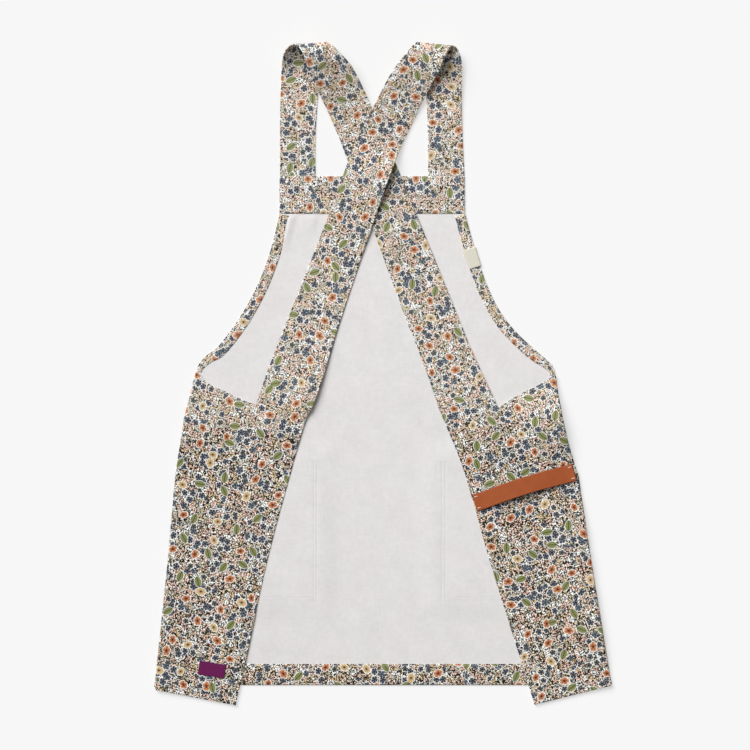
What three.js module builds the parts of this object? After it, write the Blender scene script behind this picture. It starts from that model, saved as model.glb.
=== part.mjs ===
// A cross-back smock apron, laid flat with its front face down and its back up.
// Millimetres, +Z up. X runs across the apron, and Y runs from its hem to its shoulders.
// The origin is the middle of the laid outline, on the surface that the apron lies on.

import * as THREE from "three";

// Cloth and leather
const CLOTH = 1.0; // one ply
const STRAP_CLOTH = 1.6; // two plies, sewn back to back
const LEATHER = 2.0;
const PLY_GAP = 0.3; // air between plies that lie on each other

// Heights of the middle of each ply
const PANEL_Z = CLOTH / 2;
const FACING_Z = PANEL_Z + CLOTH + PLY_GAP;
const WING_Z = FACING_Z + CLOTH + PLY_GAP;
const LABEL_Z = WING_Z + CLOTH + PLY_GAP;
const POCKET_RISE = CLOTH + PLY_GAP; // how far the front lies higher over a pocket

// The front: bib, body and hem
const BIB_TOP = { y: 288.5, left: -151.5, right: 119.5 };
const BIB_FOOT = { y: 233, left: -152, right: 120.5 };
const UNDERARM_Y = 12.5;
const HEM_Y = -455;
const HEM_DEPTH = 31;
const CHEST_FACING_DEPTH = 54.5;
const ARMHOLE_FACING = 15.5; // width of the facing inside an armhole
const EDGE_INSET = 0.6; // how far a facing stands back from the edge that it faces
const FACING_TURN = 0.9; // share of the armhole that the facing follows before it turns the underarm's corner
const FACING_NARROWS = 0.64; // share of the facing's length where it starts to narrow
const FACING_TIP = 7.2; // its width at the wing

// Each armhole is one cubic curve from the bib's foot to the underarm. These are its two pull points.
const ARMHOLE_PULLS = {
  left: { upper: [-162, 180.5], lower: [-185.5, 89] },
  right: { upper: [160, 78.5], lower: [178.5, 75] },
};

// The facing's outer edge round the underarm's corner, down to the wing
const FACING_CORNERS = {
  left: [[-254.5, 28.8], [-263.2, 20.6], [-269, 12.8], [-271, 7.2], [-271.5, 3]],
  right: [[236.8, 21.9], [244.3, 14.4], [248.8, 8], [250.9, 2.5], [251.3, -2]],
};

// The side folds, where the front turns over into the wings
const FOLD_RADIUS = 2.2; // middle of the cloth
const FOLD_TOP_Z = PANEL_Z + 2 * FOLD_RADIUS;
const FOLD_PUFF_FROM = 0.72; // share of the wing's width where it starts to rise to its fold
const SIDE_FOLDS = [
  { y: UNDERARM_Y, left: -270.5, right: 250 },
  { y: -30, left: -281, right: 255.5 },
  { y: -65, left: -290, right: 262 },
  { y: -100, left: -295.5, right: 270 },
  { y: -135, left: -301, right: 280 },
  { y: -148, left: -302.5, right: 285 },
  { y: -170, left: -305, right: 288 },
  { y: -275, left: -314, right: 304 },
  { y: HEM_Y, left: -333, right: 333.5 },
];

// The wings: the inner edge from the strap down, and the upper edge from the strap to the underarm
const WINGS = {
  left: {
    inner: [
      { x: -103.5, y: -50.5 },
      { x: -112, y: -66 },
      { x: -132, y: -135 },
      { x: -169.5, y: -275 },
      { x: -199.5, y: -415.5 },
      { x: -215, y: -484.5 },
    ],
    upper: [
      { x: -185.5, y: -45.5 },
      { x: -204.5, y: -38.5 },
      { x: -228.5, y: -27 },
      { x: -246, y: -19.3 },
      { x: -259.5, y: -11.2 },
    ],
    top: 2.2, // where the side fold starts, just under the armhole's facing
    foldFoot: -462, // where the side fold ends, below the front hem
    innerLift: 4, // the inner corner stands up where the strap pulls on it
  },
  right: {
    inner: [
      { x: 81, y: -50.5 },
      { x: 87.5, y: -66 },
      { x: 115.5, y: -135 },
      { x: 156, y: -275 },
      { x: 200, y: -415.5 },
      { x: 221, y: -483.5 },
    ],
    upper: [
      { x: 168, y: -50 },
      { x: 186, y: -38 },
      { x: 204.5, y: -27.5 },
      { x: 229, y: -15.5 },
    ],
    top: -2.8,
    foldFoot: -456,
    innerLift: 1,
  },
};
const STRAP_SHARE = 0.46; // share of a wing's upper edge that the strap is sewn to
const WING_ROWS = 18;
const LIFT_REACH = 0.16; // share of the wing's height over which the inner lift fades

// The straps, a row for each section from the bib to the wing: the two edges and their heights.
// Each strap lies on the surface, rolls over at the shoulder and comes back down on top.
const FLOOR_Z = STRAP_CLOTH / 2;
const REST_Z = WING_Z - CLOTH / 2 + STRAP_CLOTH / 2;
const SEAM_GAP = 0.3;
const STRAPS = {
  left: [
    { left: [-150.5, BIB_TOP.y + SEAM_GAP, FLOOR_Z], right: [-98.5, BIB_TOP.y + SEAM_GAP, FLOOR_Z] },
    { left: [-150.5, 341, FLOOR_Z], right: [-98.5, 341, FLOOR_Z] },
    { left: [-150, 387.5, FLOOR_Z], right: [-98.5, 387.5, FLOOR_Z] },
    { left: [-149, 421, 0.9], right: [-96.5, 421, 0.9] },
    { left: [-148, 447, 2.4], right: [-91.5, 449, 2.4] },
    { left: [-145, 462, 9], right: [-86.5, 466, 9] },
    { left: [-137.5, 475, 17], right: [-79, 480, 17] },
    { left: [-127, 478.5, 23.5], right: [-72, 482.5, 23.5] },
    { left: [-118.5, 469.5, 27], right: [-66, 476, 27] },
    { left: [-113.5, 458.5, 27.5], right: [-60.5, 467.5, 27.5] },
    { left: [-109.5, 444.5, 25.5], right: [-55, 460, 26.5] },
    { left: [-102, 425.5, 20], right: [-46.5, 449, 22.5] },
    { left: [-84.5, 390.5, 9.5], right: [-28.5, 415.5, 11.5] },
    { left: [-65.5, 347, REST_Z], right: [-9, 370.5, REST_Z] },
    { left: [-42.5, 285.5, REST_Z], right: [17, 311, REST_Z] },
    { left: [-10, 198, REST_Z], right: [52.5, 222.5, REST_Z] },
    { left: [28.5, 92.5, REST_Z], right: [95.5, 117.5, REST_Z] },
    { left: [63, 3.5, REST_Z], right: [130.5, 31.5, REST_Z] },
    { left: [81, -50.2, REST_Z + 1], right: [168, -49.7, REST_Z] },
  ],
  right: [
    { left: [66, BIB_TOP.y + SEAM_GAP, FLOOR_Z], right: [119, BIB_TOP.y + SEAM_GAP, FLOOR_Z] },
    { left: [65.5, 341, FLOOR_Z], right: [116.5, 341, FLOOR_Z] },
    { left: [64, 387.5, FLOOR_Z], right: [115, 387.5, FLOOR_Z] },
    { left: [62, 421, 0.9], right: [115, 422.5, 2.4] },
    { left: [58.5, 447, 2.4], right: [115, 447, 4.4] },
    { left: [56.5, 464, 9], right: [113, 461, 10] },
    { left: [51.5, 480, 17], right: [107.5, 475, 17] },
    { left: [46, 484, 23.5], right: [99.5, 478, 23.5] },
    { left: [41, 478, 27], right: [93, 467, 27] },
    { left: [36.5, 471.5, 27.5], right: [88.5, 453.5, 27] },
    { left: [25.5, 456.5, 25], right: [79.5, 437.5, 22] },
    { left: [11, 434, 19], right: [65.5, 411.5, 12] },
    { left: [-8.5, 399.5, 11], right: [47.5, 374.5, 5.5] },
    { left: [-30.5, 355.5, 8], right: [27, 331.5, 7.5] },
    { left: [-50, 311.5, 7.5], right: [9, 285.5, 13] },
    { left: [-85.5, 215.5, 5.5], right: [-25, 187.5, 6.5] },
    { left: [-134, 92.5, 4.2], right: [-68, 59, 4.8] },
    { left: [-168, 5, REST_Z], right: [-95, -28.5, REST_Z + 4] },
    { left: [-185.5, -45.2, REST_Z], right: [-103.5, -50.2, REST_Z + 4] },
  ],
};

// The pockets on the hidden front face
const POCKET_TOP = -128;
const POCKET_FOOT = -330.5;
const POCKET_INNER = { left: -95, right: 78 };
const POCKET_RAMP = 9; // how far past a pocket's edge the front takes to lie down again

// The leather towel loop on the right-hand wing, from its inner end to the side fold
const LOOP_INNER = new THREE.Vector2(133.5, -189);
const LOOP_OUTER = new THREE.Vector2(279, -143.5);
const LOOP_WIDTH = 25.4;
const LOOP_SEAT = 0.09; // share of its length that is sewn down at each end
const LOOP_ARCH = 4.4;
const LOOP_SIDE_BOW = 2.4;
const LOOP_INNER_Z = WING_Z + CLOTH / 2 + PLY_GAP + LEATHER / 2;
const LOOP_OUTER_Z = FOLD_TOP_Z + CLOTH / 2 + PLY_GAP + LEATHER / 2;

// The bare woven label and the bare twill tab
const LABEL = { x: -249.5, y: -432, width: 39, height: 20, turn: THREE.MathUtils.degToRad(-9.3) };
const TAB_FROM = 0.117; // shares of the right armhole's curve
const TAB_TO = 0.199;
const TAB_PROFILE = [
  { inward: ARMHOLE_FACING + 1.8, z: WING_Z },
  { inward: 0.4, z: WING_Z },
  { inward: -0.7, z: WING_Z - 0.8 },
  { inward: -0.9, z: PANEL_Z + 0.2 },
];

// Colours and roughness
const PRINT = 0xb3a993;
const PALE = 0xe2e0df;
const LEATHER_TAN = 0xaa5a32;
const LABEL_PURPLE = 0x680a52;
const TAB_CREAM = 0xe2dece;
const CLOTH_ROUGHNESS = 0.9;
const LEATHER_ROUGHNESS = 0.5;
const LABEL_ROUGHNESS = 0.8;

const { lerp, clamp, smoothstep } = THREE.MathUtils;
const SIDES = ["left", "right"];
const SAME_PLACE = 1e-6; // two mesh lines nearer than this are one
const SLOPE_STEP = 1e-3; // the step over which a surface's slope is read

// A list of numbers from 0 to 1 in even steps
function evenly(steps, from = 0, to = 1) {
  return Array.from({ length: steps + 1 }, (_, i) => lerp(from, to, i / steps));
}

// The value of one column of a table at a height, read straight between its rows
function readTable(rows, column, y) {
  const last = rows.length - 2;
  const found = rows.findIndex((row, i) => i <= last && y >= rows[i + 1].y);
  const i = found < 0 ? last : found;
  const share = (y - rows[i].y) / (rows[i + 1].y - rows[i].y);
  return lerp(rows[i][column], rows[i + 1][column], share);
}

// A smooth curve through points, flat or in space
function smoothCurve(points) {
  return new THREE.CatmullRomCurve3(points.map(([x, y, z = 0]) => new THREE.Vector3(x, y, z)));
}

// The direction that a surface faces, from its slopes along u and v
function facing(at, u, v, us, vs) {
  const u0 = Math.max(u - SLOPE_STEP, us[0]);
  const u1 = Math.min(u + SLOPE_STEP, us[us.length - 1]);
  const v0 = Math.max(v - SLOPE_STEP, vs[0]);
  const v1 = Math.min(v + SLOPE_STEP, vs[vs.length - 1]);
  const along = at(u1, v).sub(at(u0, v));
  const up = at(u, v1).sub(at(u, v0));
  return along.cross(up).normalize();
}

// A closed wall of even thickness. at(u, v) is the middle of the cloth, and us and vs place the mesh lines.
function wall(at, us, vs, thickness) {
  const columns = us.length;
  const rows = vs.length;
  const under = columns * rows;
  const positions = [];
  for (const side of [0.5, -0.5]) {
    for (const v of vs) {
      for (const u of us) {
        const offset = facing(at, u, v, us, vs).multiplyScalar(side * thickness);
        positions.push(...at(u, v).add(offset).toArray());
      }
    }
  }
  const triangles = [];
  const quad = (a, b, c, d) => triangles.push(a, b, c, a, c, d);
  for (let j = 0; j < rows - 1; j++) {
    for (let i = 0; i < columns - 1; i++) {
      const a = j * columns + i;
      const b = under + a;
      quad(a, a + 1, a + columns + 1, a + columns);
      quad(b, b + columns, b + columns + 1, b + 1);
    }
  }
  for (let i = 0; i < columns - 1; i++) {
    const far = (rows - 1) * columns + i;
    quad(i, under + i, under + i + 1, i + 1);
    quad(far + 1, under + far + 1, under + far, far);
  }
  for (let j = 0; j < rows - 1; j++) {
    const near = j * columns;
    const far = near + columns - 1;
    quad(near + columns, under + near + columns, under + near, near);
    quad(far, under + far, under + far + columns, far + columns);
  }
  const geometry = new THREE.BufferGeometry();
  geometry.setAttribute("position", new THREE.Float32BufferAttribute(positions, 3));
  geometry.setIndex(triangles);
  geometry.computeVertexNormals();
  return geometry;
}

const apron = new THREE.Group();

function addPiece(name, geometry, color, roughness) {
  const material = new THREE.MeshStandardMaterial({ color, roughness, metalness: 0 });
  const mesh = new THREE.Mesh(geometry, material);
  mesh.name = name;
  apron.add(mesh);
}

// Which way is inwards from a side: +1 for the left, -1 for the right
const inwards = { left: 1, right: -1 };

// Where the front's side edge meets the wing's turned edge, at a height
function sideEdge(side, y) {
  return readTable(SIDE_FOLDS, side, y) + inwards[side] * (FOLD_RADIUS + PLY_GAP);
}

// Heights from one to another, with the rows of the side folds between them, so that meeting edges run alike
function foldHeights(from, to) {
  const between = SIDE_FOLDS.map((row) => row.y).filter((y) => (y - from) * (y - to) < 0);
  return [from, ...between, to].sort((a, b) => a - b);
}

// Each armhole from the bib's foot to the underarm
const armholes = {};
for (const side of SIDES) {
  const pulls = ARMHOLE_PULLS[side];
  armholes[side] = new THREE.CubicBezierCurve(
    new THREE.Vector2(BIB_FOOT[side], BIB_FOOT.y),
    new THREE.Vector2(...pulls.upper),
    new THREE.Vector2(...pulls.lower),
    new THREE.Vector2(sideEdge(side, UNDERARM_Y), UNDERARM_Y),
  );
}

// A point a given distance inwards from an armhole's edge
function insideArmhole(side, share, distance) {
  const tangent = armholes[side].getTangent(share);
  const point = armholes[side].getPoint(share);
  const inward = new THREE.Vector2(-tangent.y, tangent.x).multiplyScalar(inwards[side]);
  return point.addScaledVector(inward, distance);
}

// The front's edge on one side: v is 0 to 1 up the body, 1 to 2 up the armhole and 2 to 3 up the bib's band
function frontEdge(side, v) {
  if (v <= 1) {
    const y = lerp(HEM_Y, UNDERARM_Y, v);
    return new THREE.Vector2(sideEdge(side, y), y);
  }
  if (v <= 2) {
    return armholes[side].getPoint(2 - v);
  }
  const share = v - 2;
  return new THREE.Vector2(
    lerp(BIB_FOOT[side], BIB_TOP[side], share),
    lerp(BIB_FOOT.y, BIB_TOP.y, share),
  );
}

// 1 over a pocket, falling to 0 where the front lies down again beside, above and below it
function overPocket(x, y) {
  const beside = Math.max(POCKET_INNER.left - x, x - POCKET_INNER.right) / POCKET_RAMP + 1;
  const below = (y - POCKET_FOOT) / POCKET_RAMP + 1;
  const above = (POCKET_TOP - y) / POCKET_RAMP + 1;
  return clamp(Math.min(beside, below, above), 0, 1);
}

// The front's columns: u is 0 to 1 out to the left pocket's edge, 1 to 2 between and 2 to 3 out to the right
function frontPoint(u, v) {
  const left = frontEdge("left", v);
  const right = frontEdge("right", v);
  const stops = [left.x, POCKET_INNER.left, POCKET_INNER.right, right.x];
  const i = Math.min(Math.floor(u), 2);
  const x = lerp(stops[i], stops[i + 1], u - i);
  const y = lerp(left.y, right.y, (x - left.x) / (right.x - left.x));
  return new THREE.Vector3(x, y, PANEL_Z + POCKET_RISE * overPocket(x, y));
}

function frontPanel() {
  const ramp = POCKET_RAMP / (POCKET_INNER.right - POCKET_INNER.left);
  const us = [...evenly(3), ...evenly(3, 1 + ramp, 2 - ramp), ...evenly(3, 2, 3)];
  const bodyRows = [
    ...foldHeights(HEM_Y, POCKET_FOOT - POCKET_RAMP),
    ...foldHeights(POCKET_FOOT, POCKET_TOP),
    ...foldHeights(POCKET_TOP + POCKET_RAMP, UNDERARM_Y),
  ].map((y) => (y - HEM_Y) / (UNDERARM_Y - HEM_Y));
  const vs = [...bodyRows, ...evenly(11, 1 + 1 / 12, 2), ...evenly(1, 2.5, 3)];
  return wall(frontPoint, us, vs, CLOTH);
}

function chestFacing() {
  const foot = BIB_TOP.y - CHEST_FACING_DEPTH;
  const at = (u, v) =>
    new THREE.Vector3(
      lerp(BIB_TOP.left + EDGE_INSET, BIB_TOP.right - EDGE_INSET, u),
      lerp(foot, BIB_TOP.y - EDGE_INSET, v),
      FACING_Z,
    );
  return wall(at, evenly(6), evenly(2), CLOTH);
}

// The facing runs down the armhole, turns the underarm's corner and narrows to the wing
function armholeFacing(side) {
  const along = evenly(13, 0, FACING_TURN).map((share) => insideArmhole(side, share, EDGE_INSET).toArray());
  const edge = smoothCurve([...along, ...FACING_CORNERS[side]]);
  const at = (u, v) => {
    const slope = edge.getPoint(Math.min(v + SLOPE_STEP, 1)).sub(edge.getPoint(Math.max(v - SLOPE_STEP, 0)));
    const inward = new THREE.Vector3(-slope.y, slope.x, 0).normalize().multiplyScalar(inwards[side]);
    const width = lerp(ARMHOLE_FACING, FACING_TIP, smoothstep(v, FACING_NARROWS, 1));
    const point = edge.getPoint(v).addScaledVector(inward, u * width);
    point.z = FACING_Z;
    return point;
  };
  return wall(at, evenly(2), evenly(34), CLOTH);
}

function frontHem() {
  const at = (u, v) => {
    const y = HEM_Y + EDGE_INSET + v * (HEM_DEPTH - EDGE_INSET);
    return new THREE.Vector3(lerp(sideEdge("left", y), sideEdge("right", y), u), y, FACING_Z);
  };
  return wall(at, evenly(10), evenly(2), CLOTH);
}

function pocket(side) {
  const at = (u, y) => new THREE.Vector3(lerp(sideEdge(side, y), POCKET_INNER[side], u), y, PANEL_Z);
  return wall(at, evenly(3), foldHeights(POCKET_FOOT, POCKET_TOP), CLOTH);
}

// A wing fills the space between its four edges. u is 0 to 1 from the inner edge to the side fold, and 1 to 2
// round the fold and back under; v is 0 to 1 from the upper edge to the lower.
function wing(side) {
  const { inner, upper, top, foldFoot, innerLift } = WINGS[side];
  const out = -inwards[side];
  const foldLine = (y) => readTable(SIDE_FOLDS, side, y) - out * FOLD_RADIUS;
  const outerEdge = (v) => {
    const y = lerp(top, foldFoot, v);
    return new THREE.Vector3(foldLine(y), y, 0);
  };
  const innerCurve = smoothCurve(inner.map(({ x, y }) => [x, y]));
  const upperCurve = smoothCurve([...upper.map(({ x, y }) => [x, y]), [foldLine(top), top]]);
  const armpit = upperCurve.getPoint(0);
  const upperEdge = (u) =>
    u <= STRAP_SHARE
      ? innerCurve.getPoint(0).lerp(armpit, u / STRAP_SHARE)
      : upperCurve.getPoint((u - STRAP_SHARE) / (1 - STRAP_SHARE));
  const lowerEdge = (u) => innerCurve.getPoint(1).lerp(outerEdge(1), u);

  const plan = (u, v) => {
    const acrossRows = upperEdge(u).lerp(lowerEdge(u), v);
    const acrossColumns = innerCurve.getPoint(v).lerp(outerEdge(v), u);
    const upperCorners = upperEdge(0).lerp(upperEdge(1), u);
    const lowerCorners = lowerEdge(0).lerp(lowerEdge(1), u);
    return acrossRows.add(acrossColumns).sub(upperCorners.lerp(lowerCorners, v));
  };
  const at = (u, v) => {
    const point = plan(Math.min(u, 1), v);
    if (u <= 1) {
      const puff = (FOLD_TOP_Z - WING_Z) * smoothstep(u, FOLD_PUFF_FROM, 1);
      const lift = innerLift * (1 - smoothstep(u, 0, STRAP_SHARE)) * Math.exp(-((v / LIFT_REACH) ** 2));
      point.z = WING_Z + puff + lift;
      return point;
    }
    const turn = (u - 1) * Math.PI;
    point.x += out * FOLD_RADIUS * Math.sin(turn);
    point.z = PANEL_Z + FOLD_RADIUS * (1 + Math.cos(turn));
    return point;
  };
  const flatColumns = [...evenly(3, 0, STRAP_SHARE), ...evenly(5, 0.6, 1)];
  const foldColumns = evenly(4, 1.25, 2);
  const rows = foldHeights(foldFoot, top).map((y) => (top - y) / (top - foldFoot));
  const vs = [...evenly(WING_ROWS), ...rows].sort((a, b) => a - b);
  const apart = vs.filter((v, i) => i === 0 || v - vs[i - 1] > SAME_PLACE);
  return wall(at, [...flatColumns, ...foldColumns], apart, CLOTH);
}

function strap(side) {
  const rows = STRAPS[side];
  const leftEdge = smoothCurve(rows.map((row) => row.left));
  const rightEdge = smoothCurve(rows.map((row) => row.right));
  const at = (u, v) => leftEdge.getPoint(v).lerp(rightEdge.getPoint(v), u);
  return wall(at, evenly(3), evenly(3 * (rows.length - 1)), STRAP_CLOTH);
}

// The loop is sewn flat at both ends and arches between them
function towelLoop() {
  const length = LOOP_OUTER.clone().sub(LOOP_INNER);
  const across = new THREE.Vector2(-length.y, length.x).normalize();
  const at = (u, v) => {
    const loose = clamp((u - LOOP_SEAT) / (1 - 2 * LOOP_SEAT), 0, 1);
    const swell = Math.sin(Math.PI * loose);
    const point = LOOP_INNER.clone().addScaledVector(length, u);
    point.addScaledVector(across, (v - 0.5) * LOOP_WIDTH + LOOP_SIDE_BOW * swell);
    return new THREE.Vector3(point.x, point.y, lerp(LOOP_INNER_Z, LOOP_OUTER_Z, u) + LOOP_ARCH * swell);
  };
  const us = [0, ...evenly(14, LOOP_SEAT, 1 - LOOP_SEAT), 1];
  return wall(at, us, evenly(2), LEATHER);
}

function wingLabel() {
  const along = new THREE.Vector2(Math.cos(LABEL.turn), Math.sin(LABEL.turn));
  const up = new THREE.Vector2(-along.y, along.x);
  const at = (u, v) => {
    const point = new THREE.Vector2(LABEL.x, LABEL.y);
    point.addScaledVector(along, (u - 0.5) * LABEL.width);
    point.addScaledVector(up, (v - 0.5) * LABEL.height);
    return new THREE.Vector3(point.x, point.y, LABEL_Z);
  };
  return wall(at, evenly(2), evenly(1), CLOTH);
}

// The tab lies on the right armhole's facing and turns down over its edge
function edgeTab() {
  const at = (u, v) => {
    const i = Math.min(Math.floor(u), TAB_PROFILE.length - 2);
    const inward = lerp(TAB_PROFILE[i].inward, TAB_PROFILE[i + 1].inward, u - i);
    const point = insideArmhole("right", v, inward);
    return new THREE.Vector3(point.x, point.y, lerp(TAB_PROFILE[i].z, TAB_PROFILE[i + 1].z, u - i));
  };
  const us = TAB_PROFILE.map((_, i) => i);
  return wall(at, us, evenly(4, TAB_FROM, TAB_TO), CLOTH);
}

addPiece("front_panel", frontPanel(), PALE, CLOTH_ROUGHNESS);
addPiece("chest_facing", chestFacing(), PRINT, CLOTH_ROUGHNESS);
addPiece("front_hem", frontHem(), PRINT, CLOTH_ROUGHNESS);
for (const side of SIDES) {
  addPiece(`armhole_facing_${side}`, armholeFacing(side), PRINT, CLOTH_ROUGHNESS);
  addPiece(`pocket_${side}`, pocket(side), PRINT, CLOTH_ROUGHNESS);
  addPiece(`wing_${side}`, wing(side), PRINT, CLOTH_ROUGHNESS);
  addPiece(`strap_${side}`, strap(side), PRINT, CLOTH_ROUGHNESS);
}
addPiece("towel_loop", towelLoop(), LEATHER_TAN, LEATHER_ROUGHNESS);
addPiece("wing_label", wingLabel(), LABEL_PURPLE, LABEL_ROUGHNESS);
addPiece("edge_tab", edgeTab(), TAB_CREAM, CLOTH_ROUGHNESS);

export default apron;
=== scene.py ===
"""The looks of a cross-back smock apron, face down: printed cloth, pale inside, seams, leather and light."""

import math
from functools import reduce

import bpy
import numpy as np
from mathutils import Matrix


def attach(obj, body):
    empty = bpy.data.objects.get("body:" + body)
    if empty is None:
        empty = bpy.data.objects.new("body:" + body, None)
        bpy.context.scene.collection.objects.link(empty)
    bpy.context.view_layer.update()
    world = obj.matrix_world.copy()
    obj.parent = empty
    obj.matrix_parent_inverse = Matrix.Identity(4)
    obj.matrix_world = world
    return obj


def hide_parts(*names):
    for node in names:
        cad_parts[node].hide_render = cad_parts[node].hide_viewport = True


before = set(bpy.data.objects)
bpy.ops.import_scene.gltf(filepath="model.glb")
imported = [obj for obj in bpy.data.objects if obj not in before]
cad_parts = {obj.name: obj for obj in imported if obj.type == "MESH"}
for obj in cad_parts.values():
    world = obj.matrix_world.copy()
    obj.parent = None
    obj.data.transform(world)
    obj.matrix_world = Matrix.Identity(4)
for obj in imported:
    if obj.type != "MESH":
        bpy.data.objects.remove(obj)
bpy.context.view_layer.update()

# Sizes in millimetres, as in the part's source. Every mesh is made in metres.
MM = 0.001
TURN = 2 * math.pi
CLOTH, STRAP_CLOTH, LABEL_CLOTH, TAB_CLOTH, LEATHER = 1.0, 1.6, 0.8, 0.9, 2.0
PLY_GAP = 0.3
PANEL_Z = CLOTH / 2
FACING_Z = PANEL_Z + CLOTH + PLY_GAP
WING_Z = FACING_Z + CLOTH + PLY_GAP
LABEL_Z = WING_Z + CLOTH + PLY_GAP
POCKET_RISE = CLOTH + PLY_GAP
REST_Z = WING_Z - CLOTH / 2 + STRAP_CLOTH / 2
FLOOR_Z = STRAP_CLOTH / 2

# The cloth's slow waves: lengths across and up, and phase
WAVES = [(31, 74, 0.6), (83, -37, 2.1), (52, 118, 4.0)]
WAVE_HEIGHT = 0.16

BIB_TOP_Y, BIB_FOOT_Y = 288.5, 233.0
BIB_TOP = {"left": -151.5, "right": 119.5}
BIB_FOOT = {"left": -152.0, "right": 120.5}
UNDERARM_Y, HEM_Y = 12.5, -455.0
HEM_DEPTH, CHEST_FACING_DEPTH, ARMHOLE_FACING = 31.0, 55.3, 15.5
EDGE_INSET = 0.6
ARMHOLE_PULLS = {"left": [(-162, 180.5), (-185.5, 89)], "right": [(160, 78.5), (178.5, 75)]}
# How far the facings' edges are pressed down, and how far in that reaches
FACING_PRESS, FACING_PRESS_REACH = 0.5, 3.0
# The armhole facings' outer edges round the underarm's corner, down to the wing
FACING_TURN, FACING_NARROWS, FACING_TIP = 0.9, 0.64, 7.2
FACING_CORNERS = {
    "left": [(-254.5, 28.8), (-263.2, 20.6), (-269, 12.8), (-271, 7.2), (-271.5, 3)],
    "right": [(236.8, 21.9), (244.3, 14.4), (248.8, 8), (250.9, 2.5), (251.3, -2)],
}
INWARDS = {"left": 1.0, "right": -1.0}
# Two ripples below the chest band: their heights, and the first one's foot, lean and width
LEANING_RIPPLE, UPRIGHT_RIPPLE = 1.7, 1.1
RIPPLE_X, RIPPLE_LEAN, RIPPLE_WIDTH = -133.0, 0.25, 6.5
# Where each comes in upwards, where the second rises and falls across, and where both end at the band
LEANING_FROM, UPRIGHT_FROM, RIPPLES_END = (165, 215), (196, 230), (233.5, 227)
UPRIGHT_RISE, UPRIGHT_FALL = (-124, -102), (-94.5, -102)

FOLD_RADIUS = 2.2
FOLD_TOP_Z = PANEL_Z + 2 * FOLD_RADIUS
FOLD_PUFF_FROM = 0.55
# How far the folds stand higher near the wings' tops, and lower down
FOLD_SWELL = {"left": (0.8, 0.3), "right": (6.0, 2.1)}
# The first swell's height on the apron and reach; the heights between which the second comes and goes
SWELL_Y, SWELL_REACH, SWELL_COMES, SWELL_GOES = -72.0, 42.0, (-165, -230), (-450, -380)
# How far the folds' lower corners are rounded upwards, and over which shares; the ellipse's power
FOLD_CORNER, CORNER_ACROSS, CORNER_DOWN, FOLD_BOXY = 4.5, (0.955, 1.5), (0.975, 1), 0.6
# The share of a wing from which its waves die out towards the fold
WAVES_UNTIL = 0.85
# Height, left fold, right fold; the last row carries the folds on below the hem
SIDE_FOLDS = np.array([
    (UNDERARM_Y, -270.5, 250), (-30, -281, 255.5), (-65, -290, 262), (-100, -295.5, 270), (-135, -301, 280),
    (-148, -302.5, 285), (-170, -305, 288), (-275, -314, 304), (HEM_Y, -333, 333.5), (-500, -337.75, 340.875),
])

WINGS = {
    "left": {
        "inner": [
            (-103.5, -50.5), (-112, -66), (-132, -135), (-169.5, -275), (-199.5, -415.5), (-215, -484.5),
        ],
        "upper": [(-185.5, -45.5), (-204.5, -38.5), (-228.5, -27), (-246, -19.3), (-259.5, -11.2)],
        "top": 2.2, "fold_foot": -462.0, "inner_lift": 4.0, "strap": "right",
    },
    "right": {
        "inner": [(81, -50.5), (87.5, -66), (115.5, -135), (156, -275), (200, -415.5), (221, -483.5)],
        "upper": [(168, -50), (186, -38), (204.5, -27.5), (229, -15.5)],
        "top": -2.8, "fold_foot": -456.0, "inner_lift": 1.0, "strap": "left",
    },
}
# A strap's share of its wing's top, and how far down the wing its inner corner's lift reaches
STRAP_SHARE, LIFT_REACH = 0.46, 0.16
# Shares of a strap from which it bends to meet its wing and from which it is one ply
MEETS_FROM, ONE_PLY_FROM = 0.93, 0.97
# The length over which a strap's grain turns into the wing's, and the heights where it comes to lie on cloth
GRAIN_TURN, ON_CLOTH = 70.0, (300, 230)

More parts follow.
